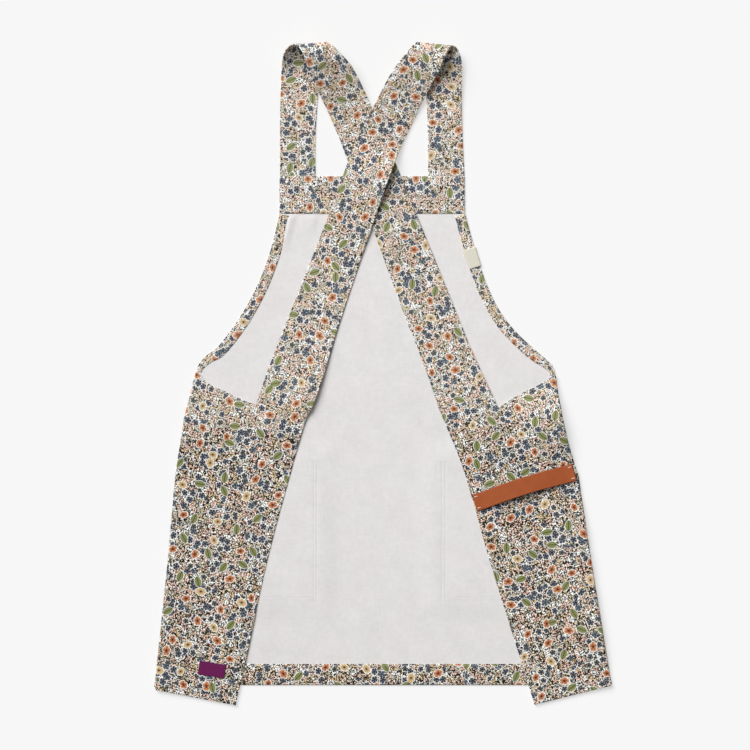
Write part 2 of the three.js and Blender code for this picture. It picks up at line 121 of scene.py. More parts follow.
# The straps' sections from the bib to the wing: left edge x, y, z, then right edge x, y, z
STRAPS = {
    "left": [
        (-150.5, 288.8, FLOOR_Z, -98.5, 288.8, FLOOR_Z), (-150.5, 341, FLOOR_Z, -98.5, 341, FLOOR_Z),
        (-150, 387.5, FLOOR_Z, -96.2, 387.5, FLOOR_Z), (-149, 421, 0.9, -93.2, 421, 0.9),
        (-148, 447, 2.6, -91, 450, 1.6), (-145.5, 463, 7.5, -88.5, 467, 5),
        (-138, 475.5, 15, -85, 478.5, 10.5), (-127.5, 478.5, 24.5, -79.5, 482.3, 16),
        (-118.5, 469.5, 31, -71.5, 475.8, 20.5), (-113.5, 458.5, 31, -63, 466.8, 22),
        (-109.5, 444.5, 27.5, -55, 459, 20.5), (-102, 425.5, 20.5, -46.5, 449, 16.5),
        (-84.5, 390.5, 9.5, -28.5, 415.5, 7), (-65.5, 347, REST_Z, -9, 370.5, REST_Z),
        (-42.5, 285.5, REST_Z, 17, 311, REST_Z), (-10, 198, 2.5, 52.5, 222.5, 2.9),
        (28.5, 92.5, 2.3, 95.5, 117.5, 2.3), (63, 3.5, 2.5, 130.5, 31.5, 2.5),
        (81, -50.2, REST_Z + 1, 168, -49.7, REST_Z),
    ],
    "right": [
        (66, 288.8, FLOOR_Z, 119, 288.8, FLOOR_Z), (65.5, 341, FLOOR_Z, 116.5, 341, 1.2),
        (64, 387.5, FLOOR_Z, 115, 387.5, 3.0), (62, 421, 0.9, 115, 422.5, 5.8),
        (59.5, 447, 2.0, 115.3, 447, 7.8), (57.5, 465, 5.5, 113.5, 461, 10.5),
        (54.5, 478, 10.5, 108, 473.8, 14.5), (50, 482.6, 15, 99.8, 476.6, 21.5),
        (43.3, 477.6, 18, 93, 467, 27), (37.6, 471.3, 18, 88.5, 453.5, 26.5),
        (25.3, 456.5, 15.5, 79.5, 437.5, 20.5), (9.4, 434, 12, 65.5, 411.5, 9),
        (-8.5, 399.5, 8.5, 47.5, 374.5, 2.4), (-30.5, 355.5, 8, 27, 331.5, 4.2),
        (-50, 311.5, 7.5, 9, 285.5, 16.5), (-64.5, 272, 6.3, -5, 245.5, 9.5),
        (-85.5, 215.5, 3.6, -25, 187.5, 3.3), (-134, 92.5, 2.7, -68, 59, 2.8),
        (-168, 5, REST_Z, -95, -28.5, REST_Z + 4), (-185.5, -45.2, REST_Z, -103.5, -50.2, REST_Z + 4),
    ],
}
# The lip along the left roll's mouth: its height, its place and length along the strap, its share across
LIP_HEIGHT, LIP_PLACE, LIP_LENGTH, LIP_SHARE = 10.0, 0.311, 0.065, 0.26

POCKET_TOP, POCKET_FOOT = -128.0, -330.5
POCKET_INNER = {"left": -95.0, "right": 78.0}
POCKET_SEAMS = {"left": (-101.3, -97.2), "right": (85.6, 90.4)}
POCKET_BOX = {"left": (-109.8, -94.9), "right": (77.4, 92.0)}
POCKET_BOX_DEPTH = 27.5
POCKET_RAMP = 34.0
POCKET_DIP = 0.26
# The front's columns are straight between these
FRONT_STRAIGHT = (-106.0, 96.0)

LOOP_INNER = np.array([133.5, -189.0])
LOOP_OUTER = np.array([279.0, -143.5])
LOOP_LENGTH = np.linalg.norm(LOOP_OUTER - LOOP_INNER)
LOOP_WIDTH, LOOP_SEAT = 25.4, 0.09
LOOP_ARCH, LOOP_SIDE_BOW, LOOP_OUTER_RISE = 4.4, 2.4, 0.6

LABEL_PLACE = np.array([-249.5, -432.0])
LABEL_WIDTH, LABEL_HEIGHT, LABEL_TURN = 39.0, 20.0, math.radians(-9.3)
TAB_SPAN = (0.117, 0.199)
TAB_SLANT = 1.3

# Where the seams run, in from an edge
EDGE_STITCH, FACING_STITCH, HEM_STITCH, LABEL_STITCH, TAB_STITCH = 4.0, 2.6, 9.0, 1.3, 15.2
LOOP_STITCH_IN, LOOP_STITCH_UP, LOOP_STITCH_PITCH = 4.5, 4.2, 6.8
STITCH_PITCH, LABEL_PITCH = 3.0, 2.4
SEAM_LINES = np.array([1.8, 2.6, 3.4])
# How far seams press the cloth thinner, and how wide; how deep threads sink in
STRAP_PINCH, WING_PINCH, FACING_PINCH, PINCH_WIDTH = 0.45, 0.3, 0.22, 0.8
STRAP_SINK, WING_SINK, FRONT_SINK = 0.12, 0.08, 0.05
LABEL_PINCH, LABEL_PINCH_WIDTH = 0.18, 0.7
# How far threads lie above the leather and above the middles of the label and the tab
LOOP_THREAD, LABEL_THREAD, TAB_THREAD = 0.05, 0.2, 0.4
# How much thicker the cloth is where its edge is turned in, how far in and how wide
TURNED_IN, TURNED_IN_PLACE, TURNED_IN_WIDTH = 0.25, 1.9, 1.1
CRISP_EDGE = 0.4
NEAR_EDGE = np.array([0, 0.4, 1.2, 2.1, 3.1, 4.0, 4.9, 6.2, 8.0])


# Curves and surfaces

def smooth(low, high, x):
    """0 below low, 1 above high, an S-shaped cubic between."""
    share = np.clip((x - low) / (high - low), 0, 1)
    return share * share * (3 - 2 * share)


def bell(x, middle, width):
    """A bump of height 1: e to the minus square of the distance, in widths."""
    return np.exp(-(((x - middle) / width) ** 2))


def unit(vectors):
    """Vectors made one long."""
    return vectors / np.linalg.norm(vectors, axis=-1, keepdims=True)


def least(*values):
    """The smallest of several numbers, point by point."""
    return reduce(np.minimum, values)


def stacked(*parts):
    """Points from their parts, numbers or arrays."""
    return np.stack(np.broadcast_arrays(*parts), -1)


def at_height(plan, z):
    """Points in plan, raised to z."""
    return stacked(plan[..., 0], plan[..., 1], z)


def spline(points, share):
    """A curve through points: cubic spans whose end slopes come from the neighbouring points, knots a square
    root of the distance apart, straight on past both ends."""
    points = np.asarray(points, float)
    padded = np.vstack([2 * points[0] - points[1], points, 2 * points[-1] - points[-2]])
    gaps = np.sqrt(np.linalg.norm(np.diff(padded, axis=0), axis=1))
    place = np.asarray(share, float) * (len(points) - 1)
    span = np.clip(np.floor(place).astype(int), 0, len(points) - 2)
    w = (place - span)[..., None]
    a, b, c, d = (padded[span + i] for i in range(4))
    ga, gb, gc = (gaps[span + i][..., None] for i in range(3))
    slope_b = ((b - a) / ga - (c - a) / (ga + gb) + (c - b) / gb) * gb
    slope_c = ((c - b) / gb - (d - b) / (gb + gc) + (d - c) / gc) * gb
    squared, cubed = 3 * (c - b) - 2 * slope_b - slope_c, 2 * (b - c) + slope_b + slope_c
    return b + slope_b * w + squared * w**2 + cubed * w**3


def mix(a, b, share):
    """Straight from a to b, with a share for each point."""
    return a + (b - a) * np.asarray(share)[..., None]


def grid(us, vs):
    """u and v at each point of a grid, a row for each v."""
    return np.meshgrid(np.asarray(us, float), np.asarray(vs, float))


def rimmed(steps, low, high, rim, *more):
    """Even steps from low to high, with lines close to both ends and any more that are given."""
    near = np.array([0.0, 0.35, 1.0]) * rim
    even = np.linspace(low + 2.5 * rim, high - 2.5 * rim, steps)
    return np.unique(np.concatenate([low + near, even, high - near, *more]))


def arc(points):
    """The length along a row of points."""
    return np.concatenate([[0], np.cumsum(np.linalg.norm(np.diff(points, axis=0), axis=1))])


def lie(plan):
    """The cloth's slow waves: three crossing sine waves, never below 0."""
    x, y = plan[..., 0], plan[..., 1]
    waves = sum(np.sin(x / across + y / up + phase) for across, up, phase in WAVES)
    return WAVE_HEIGHT * (1 + waves / len(WAVES))


def fold_line(side, y):
    """The side fold's x at a height, straight between the table's rows."""
    rows = SIDE_FOLDS[::-1]
    return np.interp(y, rows[:, 0], rows[:, 1 if side == "left" else 2])


def side_edge(side, y):
    """The front's side edge: the fold, a radius and a gap inwards."""
    return fold_line(side, y) + INWARDS[side] * (FOLD_RADIUS + PLY_GAP)


def inward_way(side, slope):
    """At right angles to a slope in plan, towards the middle."""
    slope = unit(slope)
    return stacked(-slope[..., 1], slope[..., 0]) * INWARDS[side]


def armhole(side, share, inward=0.0):
    """A cubic curve from the bib's foot to the underarm, moved inwards at right angles."""
    ends = [(BIB_FOOT[side], BIB_FOOT_Y), *ARMHOLE_PULLS[side], (side_edge(side, UNDERARM_Y), UNDERARM_Y)]
    a, b, c, d = np.array(ends, float)
    t = np.asarray(share, float)[..., None]
    point = a * (1 - t) ** 3 + 3 * b * t * (1 - t) ** 2 + 3 * c * t**2 * (1 - t) + d * t**3
    slope = 3 * ((b - a) * (1 - t) ** 2 + 2 * (c - b) * t * (1 - t) + (d - c) * t**2)
    return point + inward_way(side, slope) * np.asarray(inward, float)[..., None]


def front_edge(side, v):
    """The front's edge: v is 0 to 1 up the body, 1 to 2 up the armhole, 2 to 3 up the bib."""
    body_y = HEM_Y + np.clip(v, 0, 1) * (UNDERARM_Y - HEM_Y)
    body = stacked(side_edge(side, body_y), body_y)
    arm = armhole(side, np.clip(2 - v, 0, 1))
    foot, top = np.array([BIB_FOOT[side], BIB_FOOT_Y]), np.array([BIB_TOP[side], BIB_TOP_Y])
    band = mix(foot, top, np.clip(v - 2, 0, 1))
    v = v[..., None]
    return np.where(v <= 1, body, np.where(v <= 2, arm, band))


def over_pocket(x, y):
    """1 over a pocket, falling to 0 round it in an S-shaped ramp."""
    beside = np.maximum(POCKET_INNER["left"] - x, x - POCKET_INNER["right"])
    return smooth(0, 1, least(beside, y - POCKET_FOOT, POCKET_TOP - y) / POCKET_RAMP + 1)


# Meshes

def cloth_patch(points, u, v, rim, thickness, finish=0):
    """A grid on a sheet's middle: points, places on the cloth (across and along the grain, in from the
    nearest edge), thickness, and its upper finish's number; the next is its underside's."""
    return points, stacked(u, v, rim), np.broadcast_to(thickness, u.shape), finish


def thick_sheet(name, patches, finishes, slot, nodes, flip=False):
    """A closed sheet: patches welded where they meet, faces half the thickness off the middle along its
    normal, and a rim. It takes the place of nodes of the part."""
    start, quads, finish = 0, [], []
    for middle, _, _, number in patches:
        rows, columns = middle.shape[:2]
        a = start + (np.arange(rows - 1)[:, None] * columns + np.arange(columns - 1)).ravel()
        quads.append(np.stack([a, a + 1, a + columns + 1, a + columns], 1))
        finish.append(np.full(len(a), number))
        start += rows * columns
    points, grain = (np.vstack([patch[i].reshape(-1, 3) for patch in patches]) for i in (0, 1))
    thickness = np.concatenate([patch[2].ravel() for patch in patches])
    quads, finish = np.vstack(quads), np.concatenate(finish)
    weld = 1e-4
    places = np.round(points / weld).astype(np.int64)
    _, first, place = np.unique(places, axis=0, return_index=True, return_inverse=True)
    points, grain, thickness, quads = points[first], grain[first], thickness[first], place.ravel()[quads]
    if flip:
        quads = quads[:, ::-1]
    a, b, c, d = (points[quads[:, i]] for i in range(4))
    normals = np.zeros_like(points)
    np.add.at(normals, quads.ravel(), np.repeat(np.cross(c - a, d - b), 4, axis=0))
    normals /= np.maximum(np.linalg.norm(normals, axis=1, keepdims=True), 1e-12)

    count = len(points)
    edges = np.stack([quads, np.roll(quads, -1, axis=1)], 2).reshape(-1, 2)
    border = ~np.isin(edges[:, 0] * count + edges[:, 1], edges[:, 1] * count + edges[:, 0])
    a, b = edges[border].T
    rim = np.stack([b, a, a + count, b + count], 1)
    half = normals * thickness[:, None] / 2
    points = np.vstack([points + half, points - half])
    faces = np.vstack([quads, quads[:, ::-1] + count, rim])
    finish = np.concatenate([finish, finish + 1, np.repeat(finish, 4)[border]])
    return dressed(mesh_piece(name, points, faces, np.vstack([grain, grain]), finishes, finish), slot, *nodes)


def linked(name, data):
    """A new object in the scene."""
    made = bpy.data.objects.new(name, data)
    bpy.context.scene.collection.objects.link(made)
    return made


def mesh_piece(name, points, faces, grain, finishes, finish=None):
    """A mesh from points in millimetres and four-sided faces, its grain places kept on it in metres."""
    mesh = bpy.data.meshes.new(name)
    mesh.from_pydata((points * MM).tolist(), [], faces.tolist())
    kept = mesh.attributes.new("grain", "FLOAT_VECTOR", "POINT")
    kept.data.foreach_set("vector", (grain * MM).astype(np.float32).ravel())
    for made in finishes:
        mesh.materials.append(made)
    if finish is not None:
        mesh.polygons.foreach_set("material_index", finish.astype(np.int32))
    mesh.polygons.foreach_set("use_smooth", np.ones(len(mesh.polygons), bool))
    mesh.update()
    return linked(name, mesh)


def dressed(piece, slot=None, *nodes):
    """Sets a piece on the apron's one body, in place of solids. Its slot is not used."""
    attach(piece, "root")
    if nodes:
        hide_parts(*nodes)
    return piece


def edge_round(distance, reach=0.8):
    """A sheet's share of its thickness near its edge: half at the edge, all a short way in."""
    return 0.5 + 0.5 * smooth(0, reach, distance)


def stitch_row(line, up=(0.0, 0.0, 1.0), pitch=STITCH_PITCH):
    """Stitches along a line: the middle of each, its direction and the surface's normal."""
    length = arc(line)
    places = np.arange(pitch / 2, length[-1], pitch)
    up = np.broadcast_to(up, line.shape)
    at = lambda values, where: np.stack([np.interp(where, length, values[:, i]) for i in range(3)], 1)
    along = at(line, places + 0.5) - at(line, places - 0.5)
    return at(line, places), unit(along), unit(at(up, places))


def stitches(name, rows, finish, length=2.3, radius=0.26):
    """Many short threads in one mesh: five rings of six points, thin at both ends, which dip into the
    cloth."""
    middle, along, normal = (np.vstack(part) for part in zip(*rows))
    rings = np.array([-1, -0.72, 0, 0.72, 1]) * length / 2
    girth = np.array([0.35, 0.85, 1.0, 0.85, 0.35]) * radius
    dip = np.array([-0.75, -0.05, 0.25, -0.05, -0.75]) * radius
    angle = np.arange(6) * math.pi / 3
    x = np.repeat(rings, 6)
    y = (girth[:, None] * np.cos(angle)).ravel()
    z = (girth[:, None] * np.sin(angle) + dip[:, None]).ravel()
    points = middle[:, None]
    for way, reach in ((along, x), (np.cross(normal, along), y), (normal, z)):
        points = points + way[:, None] * reach[:, None]
    ring, side = np.meshgrid(np.arange(4), np.arange(6), indexing="ij")
    a, b = (ring * 6 + side).ravel(), (ring * 6 + (side + 1) % 6).ravel()
    ends = np.array([(0, 1, 2, 3), (0, 3, 4, 5), (27, 26, 25, 24), (29, 28, 27, 24)])
    one = np.vstack([np.stack([b, a, a + 6, b + 6], 1), ends])[:, ::-1]
    faces = (np.arange(len(middle))[:, None, None] * len(x) + one).reshape(-1, 4)
    grain = np.broadcast_to(stacked(x, np.tile(angle * radius, 5), 0.0), points.shape)
    return dressed(mesh_piece(name, points.reshape(-1, 3), faces, grain.reshape(-1, 3), [finish]))


# Finishes

def math_node(operation, turned=False):
    """A method that adds a Math node; if turned, its own number comes second."""
    if turned:
        return lambda self, other: self.sum_of(operation, other, self)
    return lambda self, *others: self.sum_of(operation, self, *others)


class Value:
    """A number that changes over a surface: a node's socket, whose arithmetic adds Math nodes."""

    def __init__(self, paint, socket):
        self.paint, self.socket = paint, socket

    def sum_of(self, operation, *parts):
        return self.paint.value("ShaderNodeMath", {"operation": operation}, dict(enumerate(parts)))

    __add__, __radd__ = math_node("ADD"), math_node("ADD", turned=True)
    __sub__, __rsub__ = math_node("SUBTRACT"), math_node("SUBTRACT", turned=True)
    __mul__, __rmul__ = math_node("MULTIPLY"), math_node("MULTIPLY", turned=True)
    __truediv__, __pow__ = math_node("DIVIDE"), math_node("POWER")
    __lt__, __gt__ = math_node("LESS_THAN"), math_node("GREATER_THAN")
    __abs__, most = math_node("ABSOLUTE"), math_node("MAXIMUM")
    sin, cos = math_node("SINE"), math_node("COSINE")


class Paint:
    """A finish under construction."""

    def __init__(self, name, roughness, sheen=0.0, specular=0.25):
        self.material = bpy.data.materials.new(name)
        self.material.use_nodes = True
        self.tree = self.material.node_tree
        self.shader = next(n for n in self.tree.nodes if n.type == "BSDF_PRINCIPLED")
        self.fix({"Roughness": roughness, "Sheen Weight": sheen, "Specular IOR Level": specular})

    def fix(self, values):
        """Values that are the same all over."""
        for name, value in values.items():
            self.shader.inputs[name].default_value = value

    def node(self, kind, settings=None, values=None):
        """Any node: its settings, then its sockets, by name or number, from numbers or links."""
        made = self.tree.nodes.new(kind)
        for name, setting in (settings or {}).items():
            setattr(made, name, setting)
        for key, value in (values or {}).items():
            if isinstance(value, Value):
                self.tree.links.new(value.socket, made.inputs[key])
            else:
                made.inputs[key].default_value = value
        return made

    def value(self, kind, settings=None, values=None, key=0):
        """What a new node gives out."""
        return Value(self, self.node(kind, settings, values).outputs[key])

    def vector(self, operation, values):
        return self.value("ShaderNodeVectorMath", {"operation": operation}, values)

    def moved(self, vector, x, y):
        return self.vector("ADD", {0: vector, 1: (x, y, 0.0)})

    def parts(self, vector):
        made = self.node("ShaderNodeSeparateXYZ", None, {0: vector})
        return [Value(self, made.outputs[i]) for i in range(3)]

    def grain(self):
        """The place on the cloth in millimetres, then across and along the grain, and in from the edge."""
        kept = self.value("ShaderNodeAttribute", {"attribute_name": "grain"}, key="Vector")
        x, y, rim = self.parts(self.vector("SCALE", {0: kept, "Scale": 1 / MM}))
        return self.value("ShaderNodeCombineXYZ", None, {0: x, 1: y}), x, y, rim

    def apron_y(self):
        """The height on the apron in millimetres."""
        return self.parts(self.value("ShaderNodeTexCoord", key="Object"))[1] / MM

    def ramp(self, value, low, high, first=0.0, last=1.0):
        """first below low, last above high, an S-shaped cubic between."""
        return self.value(
            "ShaderNodeMapRange", {"interpolation_type": "SMOOTHSTEP"},
            {"Value": value, "From Min": low, "From Max": high, "To Min": first, "To Max": last},
        )

    def mix(self, first, second, share, blend="MIX"):
        """A colour between two colours, or another blend of them."""
        settings = {"data_type": "RGBA", "blend_type": blend}
        return self.value("ShaderNodeMix", settings, {0: share, 6: first, 7: second}, 2)

    def shaded(self, colour, level):
        """A colour times a level near 1."""
        grey = self.value("ShaderNodeCombineColor", None, {0: level, 1: level, 2: level})
        return self.mix(colour, grey, 1.0, "MULTIPLY")

    def noise(self, vector, size, detail=2.0):
        """Cloudy noise with lumps about size across."""
        values = {"Vector": vector, "Scale": 1 / size, "Detail": detail}
        return self.value("ShaderNodeTexNoise", {"noise_dimensions": "2D"}, values)

    def cells(self, vector, size, loose=1.0):
        """Jittered places, one to a square: the nearest one's distance and place, and 3 random numbers."""
        values = {"Vector": vector, "Scale": 1 / size, "Randomness": loose}
        made = self.node("ShaderNodeTexVoronoi", {"voronoi_dimensions": "2D"}, values)
        far, near, tint = (Value(self, made.outputs[key]) for key in ("Distance", "Position", "Color"))
        split = self.node("ShaderNodeSeparateColor", None, {0: tint})
        return far, near, [Value(self, split.outputs[i]) for i in range(3)]

    def scatter(self, vector, cell, loose, squash):
        """Jittered places, one to a cell, each turned its own way: the offset from the nearest, along and
        across its direction, the second stretched to squash what is drawn; its length and angle; two random
        numbers."""
        _, near, (first, second, third) = self.cells(vector, cell, loose)
        x, y, _ = self.parts(self.vector("SUBTRACT", {0: vector, 1: near}))
        turn = third * TURN
        along = x * turn.cos() + y * turn.sin()
        across = (y * turn.cos() - x * turn.sin()) * (1 / squash)
        radius = (along * along + across * across) ** 0.5
        return along, across, radius, radius.sum_of("ARCTAN2", across, along), first, second

    def bump(self, height, distance, strength):
        """Relief in the shading, its distance in millimetres."""
        values = {"Height": height, "Distance": distance * MM, "Strength": strength}
        self.tree.links.new(self.value("ShaderNodeBump", None, values).socket, self.shader.inputs["Normal"])

    def done(self, colour, roughness=None):
        self.tree.links.new(colour.socket, self.shader.inputs["Base Color"])
        if roughness is not None:
            self.tree.links.new(roughness.socket, self.shader.inputs["Roughness"])
        return self.material


def colour(red, green, blue):
    """A screen colour, 0 to 255, as the linear light that a shader takes."""
    def linear(part):
        part = part / 255
        return part / 12.92 if part <= 0.04045 else ((part + 0.055) / 1.055) ** 2.4
    return (linear(red), linear(green), linear(blue), 1.0)


CREAM_GROUND = colour(255, 255, 251)
UMBER = colour(48, 41, 36)
NAVY = colour(53, 58, 72)
NAVY_LIGHT = colour(108, 112, 124)
SLATE = colour(74, 88, 98)
DARK_OLIVE = colour(66, 65, 48)
CORAL = colour(194, 122, 76)
CORAL_LIGHT = colour(210, 152, 110)
OLIVE = colour(126, 133, 84)
OLIVE_LIGHT = colour(164, 166, 116)
STRAW = colour(218, 190, 144)
ROSE = colour(232, 192, 168)
SAGE = colour(190, 180, 152)
BARK = colour(72, 48, 40)
PALE_INSIDE = colour(227, 225, 224)
PALE_WARM = colour(227, 224, 223)
LEATHER_TAN = colour(162, 80, 36)
LEATHER_EDGE = colour(118, 60, 34)
LABEL_PURPLE = colour(104, 6, 80)
TAB_CREAM = colour(226, 222, 206)
FLOOR_WHITE = colour(247, 247, 247)

# Threads and ribs in millimetres, from one to the next
WEAVE_PITCH, RIB_PITCH, WARP_PITCH, TWILL_PITCH = 0.55, 0.62, 0.4, 1.2
STRAND_ALONG, STRAND_ROUND = 0.75, 0.8
# The print's scale: patches and strokes of the ground, clusters of flowers, small and large motifs' cells
PATCH, STROKE, CLUSTER, SMALL_CELL, LARGE_CELL = 7.0, 3.6, 26.0, 11.2, 31.5
# The heights on the apron between which the print deepens, and how much
DEEPENS_FROM, DEEPENS_TO, DEEPER, WIDER_STROKES = -30.0, -130.0, 0.2, 0.026
WEAVE_RELIEF = (0.05, 0.5)


def wave(value, pitch):
    """A sine wave along a value, one swing to a pitch."""
    return (value * (TURN / pitch)).sin()


def weave(x, y):
    """A plain weave: the product of two sine waves, one along each set of threads."""
    return wave(x, WEAVE_PITCH) * wave(y, WEAVE_PITCH)


def blossom(radius, angle, petals, size, notch):
    """How far inside a flower's outline a place is: it swings in between petals as the size of a cosine of
    the angle, by the share notch. Also that swing, 1 on a petal."""
    lobe = abs((angle * petals * 0.5).cos()) ** 0.6
    return size * (1 - notch + notch * lobe) - radius, lobe


def leaf(along, across, length, width):
    """How far inside a leaf's outline a place is: its width falls off as a power of the place along it, with
    teeth cut in its edge. Also its ribs, 1 on each."""
    teeth = abs((along * (math.pi / 3.0)).sin()) * 0.9
    inside = width * (1 - (along / length) ** 2).most(0.0) ** 0.55 - teeth - abs(across)
    ribs = abs(((along + abs(across) * 0.8) * (math.pi / 2.6)).sin())
    return inside, ribs


def printed_cloth():
    """A small all-over print: coral and straw flowers and olive leaves over clusters of navy flowers and dark
    buds, on small straw, rose and sage patches crossed by fine dark and cream strokes. Motifs have a thin
    cream edge. Lower down the apron, over the wings and the hem, the dark strokes are wider and the colours
    darker."""
    paint = Paint("printed_cloth", 0.88, sheen=0.06)
    blend, ramp = paint.mix, paint.ramp
    grain, x, y, _ = paint.grain()
    low = ramp(paint.apron_y(), DEEPENS_FROM, DEEPENS_TO)
    strokes = lambda across, up: abs(paint.noise(paint.moved(grain, across, up), STROKE, 1.0) - 0.5)
    cream = lambda under, share: blend(under, CREAM_GROUND, share)

    kind = paint.cells(grain, PATCH)[2][0]
    cloth = blend(blend(ROSE, STRAW, kind > 0.36), SAGE, kind > 0.62)
    cloth = cream(cloth, kind > 0.84)
    cloth = cream(cloth, ramp(strokes(47.0, 9.0), 0.044, 0.056, 1.0, 0.0))
    dark = strokes(3.0, 71.0) - low * WIDER_STROKES
    cloth = blend(cloth, UMBER, ramp(dark, 0.056, 0.068, 1.0, 0.0))

    _, _, radius, angle, kind, more = paint.scatter(paint.moved(grain, 31.0, 17.0), SMALL_CELL, 0.8, 0.84)
    there = ramp(kind + (paint.noise(grain, CLUSTER, 1.0) - 0.5) * 2.4, 0.61, 0.63)
    inside, lobe = blossom(radius, angle, 5, 4.7 + more * 1.8, 0.2)
    navy = blend(blend(NAVY, SLATE, more > 0.8), DARK_OLIVE, more < 0.22)
    streak = ramp(abs((angle * 5.0 + radius * 0.8).sin()), 0.6, 0.85) * ramp(radius, 0.8, 1.6)
    navy = blend(navy, NAVY_LIGHT, streak * 0.7)
    navy = cream(navy, ramp(lobe, 0.2, 0.42, 0.8, 0.0) * ramp(radius, 1.6, 2.3))
    cloth = cream(cloth, ramp(inside, -1.0, -0.7) * there)
    cloth = blend(cloth, navy, ramp(inside, -0.05, 0.2) * there)

    moved = paint.moved(grain, 5.0, 53.0)
    along, across, radius, angle, kind, more = paint.scatter(moved, LARGE_CELL, 0.85, 0.74)
    green, coral = kind < 0.42, kind > 0.56
    flower, lobe = blossom(radius, angle, 7 - coral * 2, 6.2 + more * 1.5, 0.18)
    blade, ribs = leaf(along, across, 8.0, 7.2)
    inside = flower + green * (blade - flower)
    bloom = blend(STRAW, CORAL, coral)
    bloom = blend(bloom, CORAL_LIGHT, ramp(radius, 2.6, 5.6) * coral * 0.7)
    bloom = cream(bloom, ramp(lobe, 0.15, 0.4, 0.85, 0.0) * ramp(radius, 2.0, 3.2))
    rays = ramp(abs((angle * 7.0).sin()), 0.6, 0.9) * ramp(radius, 2.4, 5.0, 0.75, 0.0)
    bloom = blend(bloom, BARK, rays)
    bloom = blend(bloom, BARK, ramp(radius, 1.3, 1.9, 0.95, 0.0))
    blades = blend(OLIVE, OLIVE_LIGHT, ramp(ribs, 0.5, 0.85, 0.0, 0.9))
    blades = blend(blades, DARK_OLIVE, ramp(abs(across), 0.5, 0.9, 0.9, 0.0))
    cloth = cream(cloth, ramp(inside, -1.0, -0.7))
    cloth = blend(cloth, blend(bloom, blades, green), ramp(inside, -0.05, 0.25))

    cloth = paint.value("ShaderNodeGamma", None, {0: cloth, 1: 1.0 + low * DEEPER})
    threads = weave(x, y)
    cloth = paint.shaded(cloth, 0.98 + threads * 0.03 + (paint.noise(grain, 0.9) - 0.5) * 0.1)
    paint.bump(threads, *WEAVE_RELIEF)
    return paint.done(cloth)


def pale_cloth():
    """The unprinted inside: near white, with the weave, slubs along both sets of threads and the print
    showing faintly through, and painted shade: a little darker towards the hem, where the light falls off."""
    paint = Paint("pale_cloth", 0.9, sheen=0.1)
    grain, x, y, _ = paint.grain()
    slub = lambda *squeeze: paint.noise(paint.vector("MULTIPLY", {0: grain, 1: squeeze}), 1.0)
    slubs = slub(1.0, 0.05, 1.0) + slub(0.05, 1.0, 1.0) - 1
    cloud = paint.noise(grain, 30.0, 3.0) - 0.5
    show = paint.noise(paint.moved(grain, 90.0, 40.0), 7.0) - 0.5
    warmth = paint.ramp(paint.noise(paint.moved(grain, 10.0, 70.0), 60.0), 0.4, 0.6)
    threads = weave(x, y)
    # Painted shade: the light's slow falloff towards the hem, painted into the cloth's level
    fall = (paint.apron_y() + 70.0) * 0.0001
    level = 1 + fall + slubs * 0.09 + cloud * 0.11 + show * 0.09 + threads * 0.015
    paint.bump(threads, *WEAVE_RELIEF)
    return paint.done(paint.shaded(paint.mix(PALE_INSIDE, PALE_WARM, warmth), level))


def leather():
    """Smooth tan leather: cloudy colour, fine pores and cut edges burnished darker."""
    paint = Paint("tan_leather", 0.5, specular=0.4)
    grain, _, _, rim = paint.grain()
    cloud = paint.noise(grain, 14.0, 4.0) - 0.5
    pore = paint.ramp(paint.cells(grain, 0.8)[0], 0.05, 0.45)
    creases = paint.noise(grain, 1.8, 3.0)
    body = paint.mix(LEATHER_TAN, LEATHER_EDGE, paint.ramp(rim, 0.1, 1.4, 0.7, 0.0))
    body = paint.shaded(body, 0.98 + cloud * 0.22 + pore * 0.05 + (creases - 0.5) * 0.1)
    paint.bump(pore * 0.7 + creases * 0.6, 0.06, 0.6)
    return paint.done(body, 0.46 + cloud * 0.16 + (1 - pore) * 0.08)


def ribbed_label():
    """A bare purple woven label: fine cross ribs and a denser band along its edges."""
    paint = Paint("purple_ribbon", 0.6, sheen=0.03)
    _, x, y, rim = paint.grain()
    ribs, warp = wave(y, RIB_PITCH), wave(x, WARP_PITCH)
    band = paint.ramp(rim, 1.2, 1.6, 0.86, 1.0)
    paint.bump(ribs + warp * 0.4, 0.05, 0.6)
    return paint.done(paint.shaded(LABEL_PURPLE, band * (0.94 + ribs * 0.07 + warp * 0.04)))


def twill_tape():
    """Bare cream twill tape with slanting ribs."""
    paint = Paint("cream_twill", 0.85, sheen=0.1)
    grain, x, y, _ = paint.grain()
    ribs = wave(x + y * 0.8, TWILL_PITCH)
    paint.bump(ribs, 0.08, 0.6)
    return paint.done(paint.shaded(TAB_CREAM, 0.96 + ribs * 0.05 + (paint.noise(grain, 1.1) - 0.5) * 0.1))


def thread(name, red, green, blue):
    """Sewing thread: two strands wound together, a slanting sine wave over length and girth."""
    paint = Paint(name, 0.6, sheen=0.2)
    _, x, y, _ = paint.grain()
    strands = (x * (TURN / STRAND_ALONG) + y * (TURN / STRAND_ROUND)).sin()
    paint.bump(strands, 0.04, 0.6)
    return paint.done(paint.shaded(colour(red, green, blue), 0.93 + strands * 0.08))


PRINT, PALE = printed_cloth(), pale_cloth()
TAN, RIBBON, TWILL = leather(), ribbed_label(), twill_tape()
ECRU_THREAD = thread("ecru_thread", 222, 212, 196)
WHITE_THREAD = thread("white_thread", 244, 240, 232)
PALE_THREAD = thread("pale_thread", 204, 201, 200)


# The front: one ply, its pale inside up

